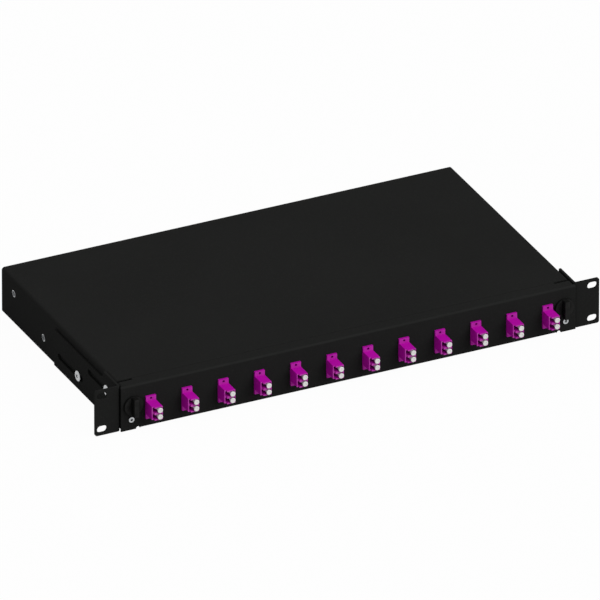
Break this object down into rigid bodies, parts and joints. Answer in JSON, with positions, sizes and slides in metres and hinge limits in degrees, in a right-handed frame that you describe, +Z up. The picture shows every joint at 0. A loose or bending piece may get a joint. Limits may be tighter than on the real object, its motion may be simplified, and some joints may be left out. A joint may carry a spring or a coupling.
{
  "type": "sliding fibre patch panel",
  "caption": "Rack-mount sliding drawer for fibre cabling: black sheet housing on adjustable ears, telescopic slides, duplex adapters with dust caps, quarter-turn latches.",
  "frame": {"origin": "centre of the four rack slots, on the rear face of the ears", "axes": "+X to the right seen from the front, +Y to the back into the rack, +Z up"},
  "size_m": [0.4784, 0.2608, 0.0434],
  "materials": {
    "black_powder_coat": "fine matt black powder coat on steel sheet",
    "zinc_steel": "bright zinc plate",
    "slide_steel": "rolled zinc strip",
    "ball_steel": "polished",
    "spring_steel": "thin strip",
    "violet_plastic": "moulded, slight sheen",
    "white_plastic": "soft moulded",
    "ceramic": "ground",
    "black_plastic": "fine grain",
    "rubber": "moulded",
    "grey_plastic": "moulded",
    "clear_plastic": "clear"
  },
  "bodies": {
    "housing": {"housing_cover": "black_powder_coat", "housing_base": "black_powder_coat", "housing_rear": "black_powder_coat", "press_nuts": "zinc_steel", "ear_screws": "zinc_steel", "cable_grommets": "rubber", "blanking_plugs": "rubber", "slide_outer_left": "slide_steel", "slide_outer_right": "slide_steel"},
    "drawer": {"drawer_tray": "black_powder_coat", "front_panel": "black_powder_coat", "panel_screws": "zinc_steel", "panel_nuts": "zinc_steel", "slide_screws": "zinc_steel", "slide_nuts": "zinc_steel", "adapter_clips": "spring_steel", "alignment_sleeves": "ceramic", "front_dust_caps": "white_plastic", "rear_dust_caps": "white_plastic", "latch_bushes": "black_plastic", "splice_cassette": "grey_plastic", "cassette_lid": "clear_plastic", "cassette_stud": "zinc_steel", "thumb_nut": "zinc_steel", "fibre_guides": "black_plastic", "slide_inner_left": "slide_steel", "slide_inner_right": "slide_steel", "adapter_01": "violet_plastic", "adapter_02": "violet_plastic", "adapter_03": "violet_plastic", "adapter_04": "violet_plastic", "adapter_05": "violet_plastic", "adapter_06": "violet_plastic", "adapter_07": "violet_plastic", "adapter_08": "violet_plastic", "adapter_09": "violet_plastic", "adapter_10": "violet_plastic", "adapter_11": "violet_plastic", "adapter_12": "violet_plastic"},
    "cage_left": {"ball_cage_left": "slide_steel", "cage_balls_left": "ball_steel"},
    "knob_left": {"knob_left": "black_plastic", "latch_pawl_left": "zinc_steel", "pawl_screw_left": "zinc_steel"},
    "ear_left": {"rack_ear_left": "black_powder_coat"},
    "cage_right": {"ball_cage_right": "slide_steel", "cage_balls_right": "ball_steel"},
    "knob_right": {"knob_right": "black_plastic", "latch_pawl_right": "zinc_steel", "pawl_screw_right": "zinc_steel"},
    "ear_right": {"rack_ear_right": "black_powder_coat"}
  },
  "joints": [
    {"name": "drawer_slide", "type": "slide", "parent": "housing", "child": "drawer", "axis": [0, -1, 0], "range_m": [0, 0.15]},
    {"name": "cage_slide_left", "type": "slide", "parent": "housing", "child": "cage_left", "axis": [0, -1, 0], "range_m": [0, 0.075]},
    {"name": "knob_turn_left", "type": "hinge", "parent": "drawer", "child": "knob_left", "pos_m": [-0.2043, 0, 0.0018], "axis": [0, 1, 0], "range_deg": [0, 90]},
    {"name": "ear_slide_left", "type": "slide", "parent": "housing", "child": "ear_left", "axis": [0, 1, 0], "range_m": [0, 0.006]},
    {"name": "cage_slide_right", "type": "slide", "parent": "housing", "child": "cage_right", "axis": [0, -1, 0], "range_m": [0, 0.075]},
    {"name": "knob_turn_right", "type": "hinge", "parent": "drawer", "child": "knob_right", "pos_m": [0.2043, 0, 0.0018], "axis": [0, -1, 0], "range_deg": [0, 90]},
    {"name": "ear_slide_right", "type": "slide", "parent": "housing", "child": "ear_right", "axis": [0, 1, 0], "range_m": [0, 0.006]}
  ],
  "couplings": [
    {"joint": "cage_slide_left", "follows": "drawer_slide", "ratio": 0.5},
    {"joint": "cage_slide_right", "follows": "drawer_slide", "ratio": 0.5}
  ]
}
